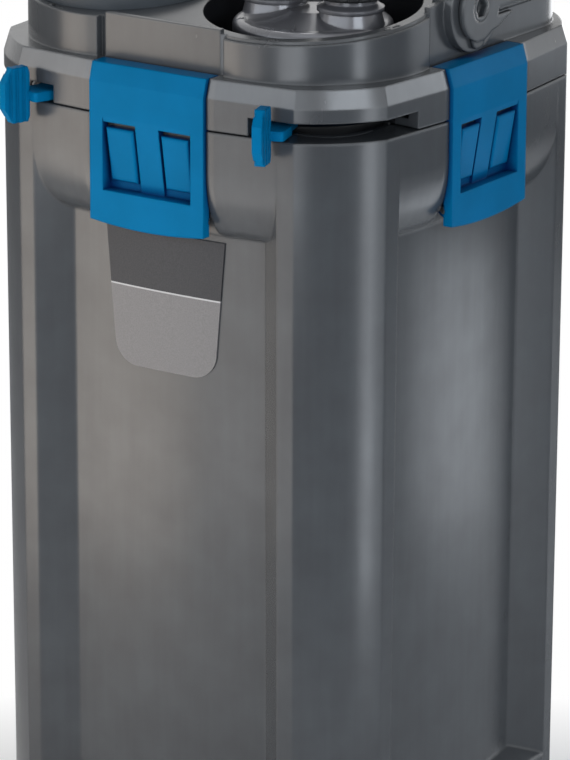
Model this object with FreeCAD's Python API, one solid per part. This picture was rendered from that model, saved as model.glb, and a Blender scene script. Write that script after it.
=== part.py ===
import FreeCAD, Part
import math
import os

# Tall square canister filter. Millimetres, +Z up, +X to the right and -Y to the front.
# The origin is on the floor, under the middle of the square container.

os.makedirs("parts", exist_ok=True)

over = 1.0                  # how far pieces and cutters run past a face that they meet
near = 0.01                 # how close two places count as the same one

# Container
split_height = 400.0        # floor to the joint between container and head
half_width = 122.5          # middle of each side to the axis
clip_half = 35.0
flat_half = clip_half + 5.0  # half of the flat stretch that a clip sits on
crease_along = half_width - 37.7  # where the side turns into the round corner
crease_depth = half_width - 4.6
corner_sag = 3.5            # rise of the round corner over its chord
column_edge = half_width - 47.5  # where the corner column ends on the side
panel_edge = column_edge - 16.0  # where the column's flank meets the panel
panel_depth = half_width - 17.0
panel_crown = 3.5           # how far each panel bulges between its columns
taper = 1.6                 # how much narrower each side is at the floor
wall = 4.0
neck_step = 0.5             # ridge under the straight mouth
foot_height = 6.0
foot_radius = 12.0
foot_seat = 1.0
foot_place = crease_along - 0.8
floor_thickness = 5.0
sill_height = 26.0
sill_drop = 6.0
sill_depth = half_width - 4.5
mouth_half = panel_depth - 3.5
mouth_round = 25.0
rim_depth = 14.0            # straight mouth below the rim
skirt_straight = 22.0       # upper part of the skirt, before it curves in
skirt_bottom = 57.0
skirt_inset = half_width - panel_depth

# Head
joint_gap = 1.0
band_height = 15.9
bevel_height = 9.5
ledge_height = joint_gap + band_height + bevel_height
bevel_inset = 2.86
shell = 4.0
tower_ratio = 2.45          # half width of the container over the towers' place
tower_place = half_width / tower_ratio
tower_radius = half_width - 9.0 - tower_place
tower_reach = tower_place + tower_radius
opening_radius = tower_radius - 8.2
wall_half = tower_reach - 3.5  # set-back walls between the towers
wall_edge = clip_half + 0.2
groove_width = 3.5          # upright groove between a wall and a tower
groove_depth = 2.0
wall_span = 36.0
back_radius = 38.0          # round rear corners of the casing
back_place = wall_half - back_radius
rim_front = 45.2            # height of the tower rim over the joint, at the very front
rim_rise = 3.5              # how far the walls stand over the tower rim
deck_rise = 1.4             # deck and inner rims over the right tower's outer edge
left_edge_rise = 1.8        # left tower's outer edge over the right one's
edge_width = 2.4
slope = math.tan(math.radians(5.5))
plug_clearance = 1.0
plug_depth = 14.0
bulkhead_low = 10.0
bulkhead_thickness = 4.0
seal_groove = 2.6           # depth of the seal's groove in the plug
seal_rise = 0.5
seal_height = 5.0
seal_squeeze = 0.1
deck_thickness = 3.0
deck_inset = 3.2
deck_gap = 0.3
deck_front = -10.0          # the deck starts here, behind the front towers

# Clips
clip_bay_gap = 0.6
clip_face = half_width + 1.9
clip_thickness = 5.0
clip_bottom = 57.0
clip_corner_rise = 2.6
clip_chamfer = 2.8
bay_upper_depth = half_width - 3.5
bay_lower_depth = panel_depth + 3.5
bay_step = 8.0
bay_bottom = 62.0
hook_thickness = 2.5
hook_reach = wall_half + 1.5
hook_gap = 0.1
window_half = 27.0
window_top = 0.5
window_bottom = 38.6
window_slant = 6.0
window_back = 2.0
web_top = 25.2
web_thickness = 1.6
backing_margin = 2.0
pad_inner = 8.5
pad_outer = 25.4
pad_top = 5.8
pad_bottom = 34.2
pad_gap = 1.3
pad_rise = 0.6              # how far the pads stand over the middle bar
pad_round = 1.5
pad_slot_high = 3.2
pad_slot_low = 0.4
pivot_depth = half_width - 4.5
pivot_drop = 47.0
pin_radius = 2.0
pin_clearance = 0.05
ear_radius = 3.8
ear_width = 6.0
ear_place = 22.0
ear_gap = 0.5
ear_root = 1.2              # how far the ear's foot lies under the pin's middle
knuckle_radius = 4.5
knuckle_inset = 4.0
pin_inset = 2.0

# Lock levers
ring_outer = tower_place - 3.4
ring_inner = ring_outer - 8.4
ring_low = 1.5
ring_thickness = 5.0
ring_room = ring_outer + 0.7
arm_width = 13.0
arm_wide = 9.0              # reach of the arm's outer part to the side
arm_wide_start = tower_radius + 0.5
arm_round = 2.0
fin_inner = tower_radius + 14.5
fin_depth = 15.0
fin_height = 28.5
fin_middle = 4.9
fin_thickness = 5.2
fin_root_cut = 1.2
fin_root_rise = 3.0
fin_tip_cut = 4.8
fin_tip_rise = 7.7
fin_groove = 0.6
fin_groove_count = 3
fin_groove_start = 2.6
fin_groove_width = 1.6
fin_groove_pitch = 4.0
slot_top = 10.0
slot_reach = fin_inner + 12.0
coupling_lever_angle = -73.0
coupling_slot_start = -82.6
coupling_slot_end = -8.4
prefilter_lever_angle = -108.4
prefilter_slot_start = -98.5
prefilter_slot_end = -171.6

# Hose coupling
dome_radius = opening_radius - 14.7
dome_top = 47.0
dome_edge = 4.0
dome_plug_radius = ring_inner - 0.6
dome_plug_low = -0.8
o_ring_low = 3.2
o_ring_width = 2.0
o_ring_depth = 1.6
o_ring_wire = 0.7
dome_flange_radius = opening_radius - 0.5
dome_flange_low = 10.0
dome_flange_thickness = 3.0
dome_rise = 4.5
dome_cap_radius = dome_radius - 6.6
neck_offset = 22.5
neck_radius = 13.3
neck_flare_radius = 17.6    # foot of the neck on the dome
neck_flare_root = 2.0
neck_flare_rise = 2.0       # how much wider than the neck the flare is under the ring
neck_ring_radius = 17.0
neck_ring_low = 53.5
neck_ring_top = 55.5
neck_ring_high = 57.5
neck_high = 70.0
port_radius = 8.0
nut_low = 60.0
nut_high = 79.0
nut_radius = 17.4
nut_wall_gap = 0.3
nut_lid = 3.0
nut_chamfer = 1.0
nut_rib_count = 18
nut_rib = 0.8
tail_radius = 9.4
tail_bore = 6.5
tail_high = 112.0
tail_collar_radius = 12.8
tail_collar = 3.0
nut_clearance = 0.06
tail_tip = 14.0             # plain end of the tail, over the barbs
barb_rise = 0.9
barb_length = 6.0
barb_count = 2
barb_step = 7.5
valve_radius = ring_outer
valve_low = 5.6
valve_thickness = 4.0
valve_rim = 3.0

# Prefilter
cap_x = -1.2 * tower_place
cap_y = -tower_place - 4.0
cap_bore = tower_radius - 12.9
cap_radius = cap_bore - 0.4
cap_low = 12.0
cap_rim = 56.0
cap_edge = 3.0
cap_dish_radius = cap_radius - 12.2
cap_dish_rise = 4.0
cap_lid = 6.0
cap_wall = 3.0
cap_bar_length = 2.0 * (cap_radius - 19.2)
cap_bar_width = 16.0
cap_bar_height = 9.0
cap_bar_round = 7.2
cap_bar_turn = 35.0
cage_radius = ring_inner - 0.8
cage_wall = 2.2
cage_low = 6.0
cage_high = 11.7
cage_hole_count = 12
cage_hole_radius = 4.0
cage_hole_place = cage_radius - 14.2
sponge_radius = cage_radius - 3.4
sponge_gap = 0.3
prefilter_port = 17.0

# Handle
pivot_height = 51.0
ear_foot = 0.5              # how far over the ledge the handle's ears start
ear_disc_radius = 23.0
ear_disc_face = tower_reach + 1.5
ear_disc_root = tower_reach - 10.5
handle_gap = 0.5
handle_thickness = 2.9
handle_eye = 17.0
handle_arm_low = 6.5        # underside of the arms, below the pivot
handle_arm_high = 12.5
handle_gusset = ((0.6, 0.8), (0.98, 0.74), (1.3, 0.59))  # place and depth in radii of the eye
handle_gusset_end = 1.75
handle_grip_inner = tower_reach + 4.0
handle_grip_depth = 16.0
handle_corner = 12.0
handle_grip_round = 5.0
handle_tab_root = 4.0
handle_tab_shoulder = 4.2
handle_tab_end = 2.1
handle_tab_tip = 1.2
handle_tab_width = 14.0
handle_tab_length = 4.2
handle_tab_thickness = 1.6
bolt_radius = 7.0
bolt_clearance = 0.05
socket_sides = 6
socket_flat = 9.2
socket_depth = 4.5

# Pump
pump_y = 42.0
housing_radius = 34.0
housing_wall = 3.0
housing_bottom = 60.0
well_inner = 12.6
well_outer = 14.6
well_top = 17.0
well_cap = 2.0
core_gap = 0.1
coil_gap = 0.6
core_clearance = 0.4        # between the core and the housing's wall
core_outer = housing_radius - housing_wall - core_clearance
core_low = 52.0
core_high = 34.0
coil_outer = core_outer - 3.6
coil_high = 22.0
rotor_radius = 11.8
rotor_low = 56.0
rotor_high = 24.0
shaft_radius = 2.0
shaft_clearance = 0.05
shaft_low = 77.0
bush_radius = 5.0
bush_length = 4.0
lower_bush_length = 2.0
impeller_hub = 6.0
blade_reach = housing_radius - 14.0
blade_thickness = 2.0
blade_low = 72.0
blade_high = 61.0
blade_count = 6
cover_low = 78.0
cover_wall = 3.0
cover_inlet = 9.0
spider_width = 4.0
duct_width = 22.0
duct_wall = 2.0
duct_gap = 0.2
outlet_drop = 1.0

# Baskets
basket_count = 4
basket_half = mouth_half - 4.5
basket_round = 20.0
basket_gap = 0.3            # under the lowest basket
basket_slot_margin = 8.0
pump_gap = 2.0
basket_room = split_height - cover_low - pump_gap - foot_height - floor_thickness - basket_gap
basket_pitch = basket_room / basket_count
basket_wall = 2.4
basket_slot_count = 9
basket_slot_width = 9.0
basket_slot_length = 1.33 * basket_half
media_gap = 0.4
media_height = basket_pitch - 20.0
bail_wire = 2.2
bail_width = 2.0 * (basket_half - 27.5)
bail_offset = 10.0
bail_arm = 40.0
riser_radius = 11.0
basket_notch_x = tower_place + neck_offset - riser_radius - 5.5
basket_notch_y = riser_radius + 6.0 - tower_place
riser_bore = 9.0
riser_low = 22.0

# Small pieces
label_half = 36.6
label_narrow = 30.4         # half of its lower edge before the corners are rounded
label_round = 14.0
label_top = 60.5
label_bottom = 133.3
label_thickness = 0.7
label_gap = 0.15
gland_x = 22.0
gland_room = pivot_height - handle_arm_low - ledge_height
gland_height = ledge_height + 0.5 * gland_room
gland_radius = 0.36 * gland_room
gland_bore = gland_radius - 2.9
gland_length = 9.0
gland_stem_radius = gland_radius - 2.0
gland_nose = 4.0
gland_nose_radius = gland_radius - 1.1
gland_tip_radius = gland_radius - 2.1
screw_radius = 3.6
screw_margin = 24.0
screw_side = 10.0
screw_front = 6.0
screw_height = 1.6
screw_slot = 1.2
screw_slot_depth = 0.7
screw_sink = 0.3            # how far the heads lie under the deck

sides = (0, 1, 2, 3)
side_names = ("front", "right", "back", "left")


def vec(x, y, z):
    return FreeCAD.Vector(x, y, z)


def at_split(z):
    """Height over the floor of a level given from the joint."""
    return split_height + z


def box(x0, x1, y0, y1, z0, z1):
    return Part.makeBox(x1 - x0, y1 - y0, z1 - z0, vec(x0, y0, z0))


def cylinder(radius, x, y, z0, z1):
    return Part.makeCylinder(radius, z1 - z0, vec(x, y, z0))


def cylinder_x(radius, y, z, x0, x1):
    return Part.makeCylinder(radius, x1 - x0, vec(x0, y, z), vec(1, 0, 0))


def cylinder_y(radius, x, z, y0, y1):
    return Part.makeCylinder(radius, y1 - y0, vec(x, y0, z), vec(0, 1, 0))


def tube(outer, inner, x, y, z0, z1):
    return cylinder(outer, x, y, z0, z1).cut(cylinder(inner, x, y, z0, z1))


def turned(shape, quarters):
    """A copy turned about the upright axis by quarter turns."""
    copy = shape.copy()
    copy.rotate(vec(0, 0, 0), vec(0, 0, 1), 90.0 * quarters)
    return copy


def about(shape, x, y, angle):
    copy = shape.copy()
    copy.rotate(vec(x, y, 0), vec(0, 0, 1), angle)
    return copy


def mirrored(shape):
    return shape.mirror(vec(0, 0, 0), vec(1, 0, 0))


def joined(shapes):
    return shapes[0].multiFuse(list(shapes[1:])).removeSplitter()


def plate(points, z0, z1):
    """A straight prism over plan points."""
    corners = [vec(x, y, z0) for x, y in points]
    corners.append(corners[0])
    return Part.Face(Part.makePolygon(corners)).extrude(vec(0, 0, z1 - z0))


def across(points, x0, x1):
    """A prism along X over points given as y and z."""
    corners = [vec(x0, y, z) for y, z in points]
    corners.append(corners[0])
    return Part.Face(Part.makePolygon(corners)).extrude(vec(x1 - x0, 0, 0))


def rounded_square(half, radius, z0, z1):
    shape = box(-half, half, -half, half, z0, z1)
    upright = [e for e in shape.Edges if abs(e.Vertexes[0].Z - e.Vertexes[1].Z) > 0.5 * (z1 - z0)]
    return shape.makeFillet(radius, upright)


def save(node, shape):
    shape.exportStep("parts/" + node + ".step")
    print(node, "solids", len(shape.Solids), "valid", shape.isValid(), "volume", round(shape.Volume))


# Outlines of the container and the head


def mitred(before, here, after, inset):
    """Moves a corner of a plan outline inwards, square to both of its edges."""
    first = (here[0] - before[0], here[1] - before[1])
    second = (after[0] - here[0], after[1] - here[1])
    first_length = math.hypot(*first)
    second_length = math.hypot(*second)
    n1 = (-first[1] / first_length, first[0] / first_length)
    n2 = (-second[1] / second_length, second[0] / second_length)
    share = inset / (1.0 + n1[0] * n2[0] + n1[1] * n2[1])
    return (here[0] + share * (n1[0] + n2[0]), here[1] + share * (n1[1] + n2[1]))


def corner_middle():
    """Middle of the round front right corner."""
    middle = 0.5 * (crease_along + crease_depth) + corner_sag / math.sqrt(2.0)
    return (middle, -middle)


def side_depth(x):
    """Depth of the side at a place beyond its flat middle."""
    share = (x - flat_half) / (crease_along - flat_half)
    return half_width - share * (half_width - crease_depth)


def column_side():
    """The front side of the container from crease to crease, with its corner after it."""
    edge = (column_edge, -side_depth(column_edge))
    return [(-crease_along, -crease_depth, "line"), (-edge[0], edge[1], "line"),
            (-panel_edge, -panel_depth, "line"), (0.0, -panel_depth - panel_crown, "bow"),
            (panel_edge, -panel_depth, "line"), (edge[0], edge[1], "line"),
            (crease_along, -crease_depth, "line"), corner_middle() + ("bow",)]


def band_side():
    """The front side of the head's band, with its corner after it."""
    return [(-crease_along, -crease_depth, "line"), (-flat_half, -half_width, "line"),
            (flat_half, -half_width, "line"), (crease_along, -crease_depth, "line"),
            corner_middle() + ("bow",)]


def ring_of(side, inset):
    """All four sides of an outline, moved inwards by an inset."""
    points = []
    for quarter in sides:
        angle = math.radians(90.0 * quarter)
        for x, y, kind in side:
            turned_x = x * math.cos(angle) - y * math.sin(angle)
            turned_y = x * math.sin(angle) + y * math.cos(angle)
            points.append((turned_x, turned_y, kind))
    count = len(points)
    moved = []
    for i, (x, y, kind) in enumerate(points):
        before = points[i - 1][:2]
        after = points[(i + 1) % count][:2]
        moved.append(mitred(before, (x, y), after, inset) + (kind,))
    return moved


def outline(side, inset, z):
    points = ring_of(side, inset)
    count = len(points)
    edges = []
    for i in range(count):
        x0, y0, kind = points[i]
        if kind == "bow":
            continue
        x1, y1, next_kind = points[(i + 1) % count]
        if next_kind == "bow":
            x2, y2, last_kind = points[(i + 2) % count]
            edges.append(Part.Arc(vec(x0, y0, z), vec(x1, y1, z), vec(x2, y2, z)).toShape())
        else:
            edges.append(Part.LineSegment(vec(x0, y0, z), vec(x1, y1, z)).toShape())
    return Part.Wire(edges)


def prism(side, inset, z0, z1):
    return Part.Face(outline(side, inset, z0)).extrude(vec(0, 0, z1 - z0))


def tapered(side, low_inset, high_inset, z0, z1):
    return Part.makeLoft([outline(side, low_inset, z0), outline(side, high_inset, z1)], True, True)


# Container


def skirt_profile(inner):
    """Side view of the skirt: straight at the top, then a quarter ellipse inwards."""
    low = at_split(-skirt_bottom)
    bend = at_split(-skirt_straight)
    top = at_split(0.0)
    deep = half_width - skirt_inset
    foot = vec(0, -deep, low)
    shoulder = vec(0, -half_width, bend)
    arc = Part.ArcOfEllipse(Part.Ellipse(foot, shoulder, vec(0, -deep, bend)), 0.0, 0.5 * math.pi).toShape()
    corners = [shoulder, vec(0, -half_width, top), vec(0, -inner, top), vec(0, -inner, low), foot]
    lines = [Part.LineSegment(a, b).toShape() for a, b in zip(corners, corners[1:])]
    return Part.Face(Part.Wire(Part.__sortEdges__([arc] + lines)))


def skirt_piece():
    """Skirt between two columns: the flat middle and the slanted stretches curve in alike."""
    reach = 2.0 * half_width
    skirt = skirt_profile(mouth_half).extrude(vec(2.0 * column_edge, 0, 0))
    skirt.translate(vec(-column_edge, 0, 0))
    slant = skirt_profile(0.0).extrude(vec(2.0 * reach, 0, 0))
    slant.translate(vec(-reach, 0, 0))
    turn = math.degrees(math.atan2(half_width - crease_depth, crease_along - flat_half))
    for side in (-1.0, 1.0):
        piece = slant.copy()
        piece.rotate(vec(side * flat_half, -half_width, 0), vec(0, 0, 1), side * turn)
        skirt = skirt.common(piece)
    return skirt


def sill_piece():
    low = foot_height
    top = low + sill_height
    points = [(-mouth_half, low), (-sill_depth, low), (-sill_depth, top - sill_drop), (-panel_depth, top),
              (-mouth_half, top)]
    return across(points, -column_edge, column_edge)


def clip_bay():
    """Space that a clip takes in the front of the container and the head."""
    half = clip_half + clip_bay_gap
    step = at_split(-bay_step)
    beyond = -half_width - 2.0 * clip_thickness
    top = at_split(joint_gap + band_height + bevel_height)
    upper = box(-half, half, beyond, -bay_upper_depth, step, top)
    lower = box(-half, half, beyond, -bay_lower_depth, at_split(-bay_bottom), step)
    return upper.fuse(lower)


def clip_ears():
    """Two ears on the container that hold the clip's pin."""
    z = at_split(-pivot_drop)
    pieces = []
    for place in (-ear_place, ear_place):
        x0 = place - 0.5 * ear_width
        x1 = place + 0.5 * ear_width
        pieces.append(cylinder_x(ear_radius, -pivot_depth, z, x0, x1))
        pieces.append(box(x0, x1, -pivot_depth, -bay_lower_depth + over, z - ear_root, z + ear_radius))
    return joined(pieces).cut(cylinder_x(pin_radius, -pivot_depth, z, -clip_half, clip_half))


def foot_places():
    """Four feet at the corners and one under the middle of the floor."""
    corners = [(x, y) for x in (-foot_place, foot_place) for y in (-foot_place, foot_place)]
    return corners + [(0.0, 0.0)]


def canister():
    low = foot_height
    top = at_split(0.0)
    skirt_low = at_split(-skirt_bottom)
    body = tapered(column_side(), taper, 0.0, low, top)
    skirt = skirt_piece()
    sill = sill_piece()
    body = body.multiFuse([turned(skirt, q) for q in sides] + [turned(sill, q) for q in sides])
    cavity = tapered(column_side(), taper + wall, wall, low + floor_thickness, skirt_low)
    neck = rounded_square(mouth_half - neck_step, mouth_round, skirt_low - over, top - rim_depth + over)
    mouth = rounded_square(mouth_half, mouth_round, top - rim_depth, top + over)
    body = body.cut(cavity).cut(neck).cut(mouth)
    bay = clip_bay()
    ears = clip_ears()
    for quarter in sides:
        body = body.cut(turned(bay, quarter))
    body = body.multiFuse([turned(ears, q) for q in sides]).removeSplitter()
    for x, y in foot_places():
        body = body.cut(cylinder(foot_radius, x, y, low - over, low + foot_seat))
    return body


def rubber_feet():
    top = foot_height + foot_seat
    return Part.makeCompound([cylinder(foot_radius, x, y, 0.0, top) for x, y in foot_places()])


# Head casing


def sloped(rise, top):
    """Everything under the sloping plane of the tower rims, moved up by a rise."""
    reach = 2.0 * half_width
    front = at_split(rim_front + rise) - slope * (reach - tower_place - tower_radius)
    back = at_split(rim_front + rise) + slope * (reach + tower_place + tower_radius)
    return across([(-reach, 0.0), (reach, 0.0), (reach, min(back, top)), (-reach, front)], -reach, reach)


def towers(radius, z0, z1):
    return [cylinder(radius, x, -tower_place, z0, z1) for x in (-tower_place, tower_place)]


def back_block(inset, z0, z1):
    """Rear half of the casing: a block with two round corners, moved inwards by an inset."""
    half = wall_half - inset
    radius = back_radius - inset
    wide = box(-half, half, 0.0, back_place, z0, z1)
    deep = box(-back_place, back_place, 0.0, half, z0, z1)
    corners = [cylinder(radius, x, back_place, z0, z1) for x in (-back_place, back_place)]
    return wide.multiFuse([deep] + corners)


def cross(half, span, z0, z1):
    """Block with set-back corners: the walls between the towers and all inside them."""
    along = box(-half, half, -span, span, z0, z1)
    deep = box(-span, span, -half, half, z0, z1)
    core = box(-tower_place, tower_place, -tower_place, tower_place, z0, z1)
    return along.multiFuse([deep, core])


def sector(x, y, angle_start, angle_end, inner, z0, z1):
    """A fan from a tower's axis, for the slot that a lever moves in."""
    start = min(angle_start, angle_end)
    sweep = abs(angle_end - angle_start)
    fan = Part.makeCylinder(slot_reach, z1 - z0, vec(x, y, z0), vec(0, 0, 1), sweep)
    return about(fan, x, y, start).cut(cylinder(inner, x, y, z0 - over, z1 + over))


def head_walls(low, high):
    """Block of the two towers, the rear and the walls, with its rims at their own heights."""
    inner = wall_half - deck_inset
    fronts = towers(tower_radius, low, high)
    block = cross(wall_half, wall_span, low, high).fuse(back_block(0.0, low, high))
    hollow = cross(inner, wall_span - deck_inset, low, high)
    frame = cross(wall_half, wall_edge, low, high).cut(cross(inner, wall_edge, low, high))
    hollow = hollow.multiFuse([back_block(deck_inset, low, high)] + [front.cut(frame) for front in fronts])
    rims = block.cut(hollow).common(sloped(rim_rise, high))
    walls = block.multiFuse(fronts).common(sloped(deck_rise, high)).fuse(rims)
    for side, rise in ((-1.0, left_edge_rise), (1.0, 0.0)):
        strip = tube(tower_radius, tower_radius - edge_width, side * tower_place, -tower_place, low, high)
        strip = strip.cut(cross(half_width, wall_edge + groove_width, low, high))
        walls = walls.cut(strip).fuse(strip.common(sloped(rise, high)))
    return walls


def head_casing():
    base = at_split(joint_gap)
    bevel_low = at_split(joint_gap + band_height)
    ledge = at_split(ledge_height)
    high = at_split(rim_front + 2.0 * tower_radius)
    band = prism(band_side(), 0.0, base, bevel_low)
    bevel = tapered(band_side(), 0.0, bevel_inset, bevel_low, ledge)
    plug_half = mouth_half - plug_clearance
    plug = rounded_square(plug_half, mouth_round - plug_clearance, at_split(-plug_depth), base + over)
    walls = head_walls(ledge - over, high)
    for quarter in sides:
        walls = walls.cut(turned(wall_recess(ledge, high), quarter))
    for quarter, side in groove_places():
        walls = walls.cut(turned(groove(side, ledge, high), quarter))
    casing = joined([band, bevel, plug, walls])
    floor_top = at_split(-bulkhead_low + bulkhead_thickness)
    inner_round = mouth_round - plug_clearance - shell
    plug_room = rounded_square(plug_half - shell, inner_round, floor_top, base + shell)
    band_room = prism(band_side(), shell + bevel_inset, base + shell, ledge - shell)
    inner = wall_half - deck_inset
    wall_room = cross(inner, wall_span - deck_inset, ledge - 2.0 * shell, high)
    back_room = back_block(deck_inset, ledge - 2.0 * shell, high)
    room = plug_room.multiFuse([band_room, wall_room, back_room])
    cups = towers(tower_radius, at_split(slot_top + over), high)
    lid = box(-wall_half, wall_half, -wall_half, deck_front, ledge, high)
    lid = lid.cut(sloped(deck_rise - deck_thickness, high))
    room = room.cut(cups[0].multiFuse(cups[1:] + [lid]))
    plug_low = at_split(-plug_depth - over)
    under = rounded_square(plug_half - shell, inner_round, plug_low, at_split(-bulkhead_low))
    bores = [cylinder(opening_radius, tower_place, -tower_place, at_split(slot_top), high),
             cylinder(cap_bore, cap_x, cap_y, at_split(slot_top), high)]
    ring_rooms = towers(ring_room, floor_top, at_split(slot_top + over))
    casing = casing.cut(room).cut(under)
    casing = casing.cut(bores[0].multiFuse(bores[1:] + ring_rooms))
    slots = [sector(tower_place, -tower_place, coupling_slot_start, coupling_slot_end, ring_inner,
                    at_split(0.0), at_split(slot_top)),
             sector(-tower_place, -tower_place, prefilter_slot_start, prefilter_slot_end, ring_inner,
                    at_split(0.0), at_split(slot_top))]
    casing = casing.cut(slots[0].fuse(slots[1]))
    return finished_head(casing)


def wall_recess(low, high):
    """Room in front of a set-back wall."""
    half = wall_edge + groove_width
    return box(-half, half, -half_width, -wall_half, low, high)


def groove(side, low, high):
    """Upright groove at the end of a set-back wall, deepest next to the tower."""
    wall_end = side * wall_edge
    tower_end = side * (wall_edge + groove_width)
    corners = [(wall_end, -wall_half), (tower_end, groove_depth - wall_half), (tower_end, -half_width),
               (wall_end, -half_width)]
    points = [vec(x, y, low) for x, y in corners]
    return Part.Face(Part.makePolygon(points + points[:1])).extrude(vec(0, 0, high - low))


def groove_places():
    """Side of the head and end of its wall: both ends in front, the front end on the left and right."""
    return [(0, -1.0), (0, 1.0), (1, -1.0), (3, 1.0)]


def finished_head(casing):
    """Clip pockets, seal groove, ports, pivot ears and cable hole."""
    half = clip_half + clip_bay_gap
    ledge = at_split(ledge_height)
    beyond = -half_width - 2.0 * clip_thickness
    hook_room = box(-half, half, beyond, -wall_half, ledge - hook_thickness, ledge + over)
    face_room = box(-half, half, beyond, -bay_upper_depth, at_split(0.0), ledge)
    pocket = hook_room.fuse(face_room)
    for quarter in sides:
        casing = casing.cut(turned(pocket, quarter))
    plug_half = mouth_half - plug_clearance
    groove_low = at_split(-bulkhead_low + seal_rise)
    outer = rounded_square(plug_half + over, mouth_round, groove_low, groove_low + seal_height)
    core = rounded_square(plug_half - seal_groove, mouth_round - plug_clearance - seal_groove, groove_low,
                          groove_low + seal_height)
    casing = casing.cut(outer.cut(core))
    for x in (tower_place - neck_offset, tower_place + neck_offset):
        casing = casing.cut(cylinder(port_radius, x, -tower_place, at_split(-plug_depth), at_split(0.0)))
    casing = casing.cut(cylinder(prefilter_port, -tower_place, -tower_place, at_split(-plug_depth),
                                 at_split(0.0)))
    z = at_split(pivot_height)
    ear = cylinder_x(ear_disc_radius, 0.0, z, ear_disc_root, ear_disc_face)
    ear = ear.cut(box(0.0, half_width, -half_width, half_width, 0.0, ledge + ear_foot))
    bolt_hole = cylinder_x(bolt_radius, 0.0, z, ear_disc_root - over, half_width)
    casing = casing.multiFuse([ear, mirrored(ear)]).removeSplitter()
    casing = casing.cut(bolt_hole.fuse(mirrored(bolt_hole)))
    return casing.cut(cylinder_y(gland_stem_radius, gland_x, at_split(gland_height), wall_half - 2.0 * shell,
                                 wall_half + over))


def head_deck():
    """Sloping cover inside the head's walls, round the two front towers."""
    high = at_split(rim_front + 2.0 * tower_radius)
    ledge = at_split(ledge_height)
    inner = wall_half - deck_inset - deck_gap
    square = cross(inner, wall_span - deck_inset - deck_gap, ledge, high)
    rear = back_block(deck_inset + deck_gap, ledge, high)
    cover = square.fuse(rear).common(sloped(deck_rise, high))
    cover = cover.cut(sloped(deck_rise - deck_thickness, high))
    cover = cover.common(box(-half_width, half_width, deck_front + deck_gap, half_width, ledge, high))
    fronts = towers(tower_radius + deck_gap, ledge, high)
    ears = cylinder_x(ear_disc_radius + deck_gap, 0.0, at_split(pivot_height), ear_disc_root - deck_gap,
                      half_width)
    cover = cover.cut(fronts[0].multiFuse(fronts[1:] + [ears, mirrored(ears)]))
    for x, y in screw_places():
        cover = cover.cut(cylinder(screw_radius, x, y, deck_height(y) - screw_height, high))
    return cover


def deck_height(y):
    """Top of the deck over the floor at a place from front to back."""
    return at_split(rim_front + deck_rise) + slope * (y + tower_place + tower_radius)


def screw_places():
    """Four screws round the back of the deck and two on its middle line."""
    side = wall_half - screw_margin
    rear = side + 0.5 * screw_margin
    middle = tower_place + screw_side
    return [(-side, rear - middle), (side, rear - middle), (-middle, rear), (middle, rear),
            (0.0, screw_front), (0.0, rear)]


def deck_screws():
    screws = []
    for x, y in screw_places():
        top = deck_height(y) - screw_sink
        low = deck_height(y) - screw_height
        screw = cylinder(screw_radius, x, y, low, top)
        reach = screw_radius + over
        slot = box(x - reach, x + reach, y - 0.5 * screw_slot, y + 0.5 * screw_slot,
                   top - screw_slot_depth, top + over)
        screws.append(screw.cut(slot))
    return Part.makeCompound(screws)


def head_seal():
    plug_half = mouth_half - plug_clearance
    low = at_split(-bulkhead_low + seal_rise)
    outer = rounded_square(mouth_half - seal_squeeze, mouth_round - seal_squeeze, low, low + seal_height)
    core = rounded_square(plug_half - seal_groove, mouth_round - plug_clearance - seal_groove, low - over,
                          low + seal_height + over)
    return outer.cut(core)


def cable_gland():
    """Gland that the mains cord would leave by."""
    y = wall_half
    z = at_split(gland_height)
    tip = y + gland_length
    body = cylinder_y(gland_radius, gland_x, z, y, tip)
    stem = cylinder_y(gland_stem_radius, gland_x, z, y - deck_inset, y)
    nose = Part.makeCone(gland_nose_radius, gland_tip_radius, gland_nose, vec(gland_x, tip, z), vec(0, 1, 0))
    bore = cylinder_y(gland_bore, gland_x, z, y - deck_inset - over, tip + gland_nose + over)
    return body.multiFuse([stem, nose]).cut(bore)


# Clips


def clip_profile():
    """Side view of a clip: face, bevelled top, hook over the ledge and plain back."""
    ledge = at_split(ledge_height)
    bevel_low = at_split(joint_gap + band_height)
    back = clip_face - clip_thickness
    hook_low = ledge - hook_thickness + hook_gap
    low = at_split(-clip_bottom)
    return [(-clip_face, low), (-clip_face, bevel_low), (-clip_face + clip_chamfer, ledge + hook_gap),
            (-hook_reach, ledge + hook_gap), (-hook_reach, hook_low), (-back, hook_low), (-back, low)]


def window_depth(z):
    """Depth of the recess floor, which slants inwards to the bottom."""
    share = (at_split(-window_top) - z) / (window_bottom - window_top)
    return clip_face - window_slant * share


def window_cut(low, top):
    beyond = -clip_face - clip_thickness
    points = [(beyond, low), (beyond, top), (-window_depth(top), top), (-window_depth(low), low)]
    return across(points, -window_half, window_half)


def backing(low, top):
    """Material behind the recess, under the slanted floor."""
    front = -clip_face + over
    back = -clip_face + window_slant + window_back
    foot = low - backing_margin
    half = window_half + backing_margin
    points = [(front, top), (back, low + 2.0 * backing_margin), (back, foot), (front, foot)]
    return across(points, -half, half)


def pad_slot(side):
    """Gap round a pad, from the middle bar to the end of the recess."""
    ends = sorted((side * (pad_inner - pad_gap), side * window_half))
    back = -clip_face + window_slant + window_back + over
    return box(ends[0], ends[1], -clip_face - over, back, at_split(-window_bottom + pad_slot_low),
               at_split(-pad_slot_high))


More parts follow.
